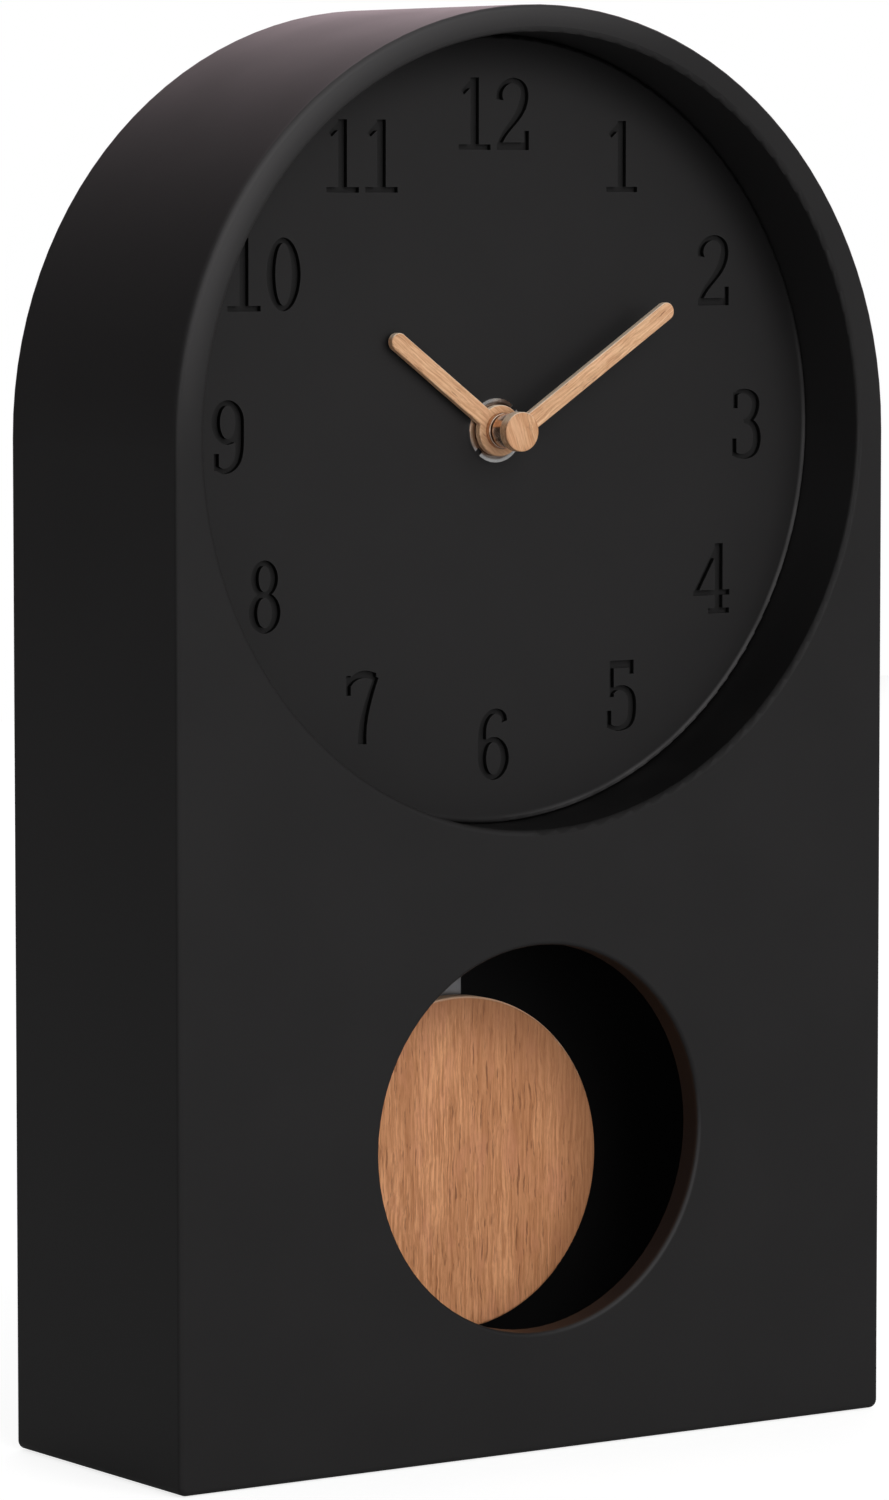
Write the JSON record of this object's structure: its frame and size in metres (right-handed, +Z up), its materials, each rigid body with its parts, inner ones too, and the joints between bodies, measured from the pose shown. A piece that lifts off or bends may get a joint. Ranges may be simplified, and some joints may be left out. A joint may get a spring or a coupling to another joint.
{
  "type": "desk pendulum clock",
  "caption": "Arched desk clock with a sunk dial, wooden hands and a wooden disc pendulum in a round window.",
  "frame": {"origin": "middle of the footprint, on the surface that the clock stands on", "axes": "+Z up, -Y out of the front, +X to the right seen from the front"},
  "size_m": [0.16, 0.058, 0.27],
  "materials": {
    "case_black": "matte moulded black, fine texture",
    "dial_black": "matte black with sunk numerals",
    "back_black": "matte black, lightly textured sheet",
    "hand_wood": "light oak veneer, satin",
    "bob_wood": "oak veneer with upright grain, satin",
    "nut_chrome": "bright nickel plate",
    "hub_nickel": "turned and nickel-plated",
    "bushing_brass": "turned brass",
    "steel": "bright drawn steel",
    "screw_steel": "zinc-plated steel",
    "rod_aluminium": "brushed aluminium strip",
    "movement_plastic": "black moulded plastic",
    "wheel_plastic": "ivory moulded plastic",
    "knob_plastic": "grey moulded plastic",
    "rubber": "soft black rubber",
    "battery_wrap": "plain printed steel can",
    "contact_nickel": "nickel-plated spring strip",
    "board_green": "solder mask on glass-epoxy board",
    "chip_black": "epoxy drop",
    "magnet_dark": "plated magnet",
    "copper_wire": "enamelled copper wire"
  },
  "bodies": {
    "case": {"case_shell": "case_black", "dial_plate": "dial_black", "dial_screws": "screw_steel", "back_panel": "back_black", "back_panel_screws": "screw_steel", "movement_gasket": "rubber", "movement_front_plate": "movement_plastic", "movement_back_housing": "movement_plastic", "threaded_bushing": "bushing_brass", "fixing_nut": "nut_chrome", "battery": "battery_wrap", "battery_contact_plus": "contact_nickel", "battery_contact_minus": "contact_nickel", "circuit_board": "board_green", "circuit_chip": "chip_black", "quartz_crystal": "steel", "stator": "steel", "stator_coil_bobbin": "wheel_plastic", "stator_coil_winding": "copper_wire", "pendulum_drive_coil": "copper_wire", "pendulum_pivot_pin": "steel", "pivot_retainer": "steel"},
    "minute_work": {"minute_arbor": "steel", "minute_hand": "hand_wood", "minute_hand_bush": "hub_nickel", "minute_hand_cap": "hand_wood"},
    "hour_work": {"hour_wheel": "wheel_plastic", "hour_hand": "hand_wood", "hour_hand_bush": "hub_nickel"},
    "motion_work": {"motion_wheel": "wheel_plastic"},
    "setting_work": {"setting_knob": "knob_plastic"},
    "rotor": {"rotor_pinion": "wheel_plastic", "rotor_magnet": "magnet_dark"},
    "fifth": {"fifth_wheel": "wheel_plastic"},
    "fourth": {"fourth_wheel": "wheel_plastic"},
    "third": {"third_wheel": "wheel_plastic"},
    "centre": {"centre_wheel": "wheel_plastic"},
    "pendulum": {"pendulum_hanger": "movement_plastic", "pendulum_magnet": "magnet_dark", "pendulum_rod": "rod_aluminium", "pendulum_bob": "bob_wood", "bob_screws": "screw_steel", "rod_screw": "screw_steel"}
  },
  "joints": [
    {"name": "minute_turn", "type": "hinge", "parent": "case", "child": "minute_work", "pos_m": [0, 0, 0.191], "axis": [0, 1, 0], "continuous": true},
    {"name": "hour_turn", "type": "hinge", "parent": "case", "child": "hour_work", "pos_m": [0, 0, 0.191], "axis": [0, 1, 0], "continuous": true},
    {"name": "motion_wheel_turn", "type": "hinge", "parent": "case", "child": "motion_work", "pos_m": [0.012, 0, 0.191], "axis": [0, 1, 0], "continuous": true},
    {"name": "setting_knob_turn", "type": "hinge", "parent": "case", "child": "setting_work", "pos_m": [0.01971, 0, 0.20019], "axis": [0, 1, 0], "continuous": true},
    {"name": "rotor_turn", "type": "hinge", "parent": "case", "child": "rotor", "pos_m": [0.01483, 0, 0.20649], "axis": [0, 1, 0], "continuous": true},
    {"name": "fifth_wheel_turn", "type": "hinge", "parent": "case", "child": "fifth", "pos_m": [0.006, 0, 0.20139], "axis": [0, 1, 0], "continuous": true},
    {"name": "fourth_wheel_turn", "type": "hinge", "parent": "case", "child": "fourth", "pos_m": [0, 0, 0.191], "axis": [0, 1, 0], "continuous": true},
    {"name": "third_wheel_turn", "type": "hinge", "parent": "case", "child": "third", "pos_m": [-0.0084, 0, 0.1994], "axis": [0, 1, 0], "continuous": true},
    {"name": "centre_wheel_turn", "type": "hinge", "parent": "case", "child": "centre", "pos_m": [0, 0, 0.191], "axis": [0, 1, 0], "continuous": true},
    {"name": "pendulum_swing", "type": "hinge", "parent": "case", "child": "pendulum", "pos_m": [0, 0, 0.156], "axis": [0, 1, 0], "range_deg": [-10, 10]}
  ],
  "couplings": [
    {"joint": "hour_turn", "follows": "minute_turn", "ratio": 0.083333},
    {"joint": "motion_wheel_turn", "follows": "minute_turn", "ratio": -0.33333},
    {"joint": "setting_knob_turn", "follows": "minute_turn", "ratio": 1},
    {"joint": "fifth_wheel_turn", "follows": "rotor_turn", "ratio": -0.13333},
    {"joint": "fourth_wheel_turn", "follows": "rotor_turn", "ratio": 0.033333},
    {"joint": "third_wheel_turn", "follows": "rotor_turn", "ratio": -0.0044444},
    {"joint": "centre_wheel_turn", "follows": "rotor_turn", "ratio": 0.00055556}
  ]
}
